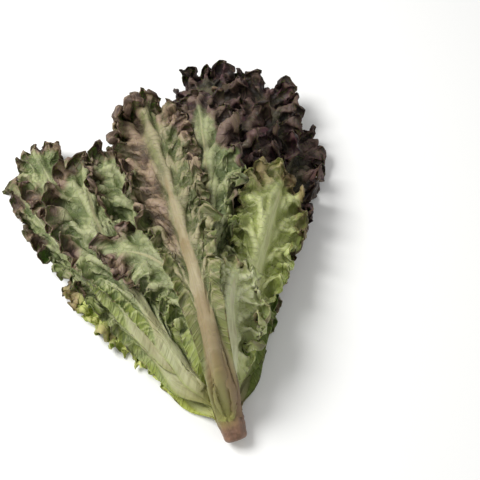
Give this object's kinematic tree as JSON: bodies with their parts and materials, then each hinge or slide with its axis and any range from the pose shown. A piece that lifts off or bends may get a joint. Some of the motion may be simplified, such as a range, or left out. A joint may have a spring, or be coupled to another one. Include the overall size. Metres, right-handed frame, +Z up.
{
  "type": "coral lettuce",
  "caption": "Head of loose-leaf coral lettuce cut from its root and laid on its side: a short stem with frilled red and green leaves fanned out on fleshy ribs.",
  "frame": {"origin": "on the surface the head lies on, under the middle of its box", "axes": "+Z up; +Y from the stem's cut end towards the leaf tips, the head's longest way; +X to the right as seen from the stem"},
  "size_m": [0.2359, 0.2822, 0.0834],
  "materials": {
    "outer_leaf": "pale green backs of the outer leaves, waxy and lightly wrinkled",
    "bright_leaf": "bright yellow-green leaf, waxy",
    "red_leaf": "dark red-brown leaf, satin",
    "inner_leaf": "darker green leaf, satin",
    "stem": "smooth fleshy stem, pink-brown at the cut"
  },
  "bodies": {
    "root": {"stem": "stem", "leaf_bottom_middle": "inner_leaf", "leaf_bottom_left": "bright_leaf", "leaf_bottom_right": "inner_leaf", "leaf_low_left": "inner_leaf", "leaf_low_right": "red_leaf", "leaf_far_left": "outer_leaf", "leaf_far_right": "inner_leaf", "leaf_back_left": "outer_leaf", "leaf_back_right": "red_leaf", "leaf_back_middle": "red_leaf", "leaf_heart_left": "red_leaf", "leaf_heart_right": "red_leaf", "leaf_crown_right": "red_leaf", "leaf_crown_left": "red_leaf", "leaf_crown_middle": "red_leaf", "leaf_left": "outer_leaf", "leaf_inner_right": "red_leaf", "leaf_right": "inner_leaf", "leaf_upper_left": "outer_leaf", "leaf_curled": "outer_leaf", "leaf_top": "outer_leaf", "leaf_middle": "outer_leaf", "leaf_front": "outer_leaf"}
  },
  "joints": []
}
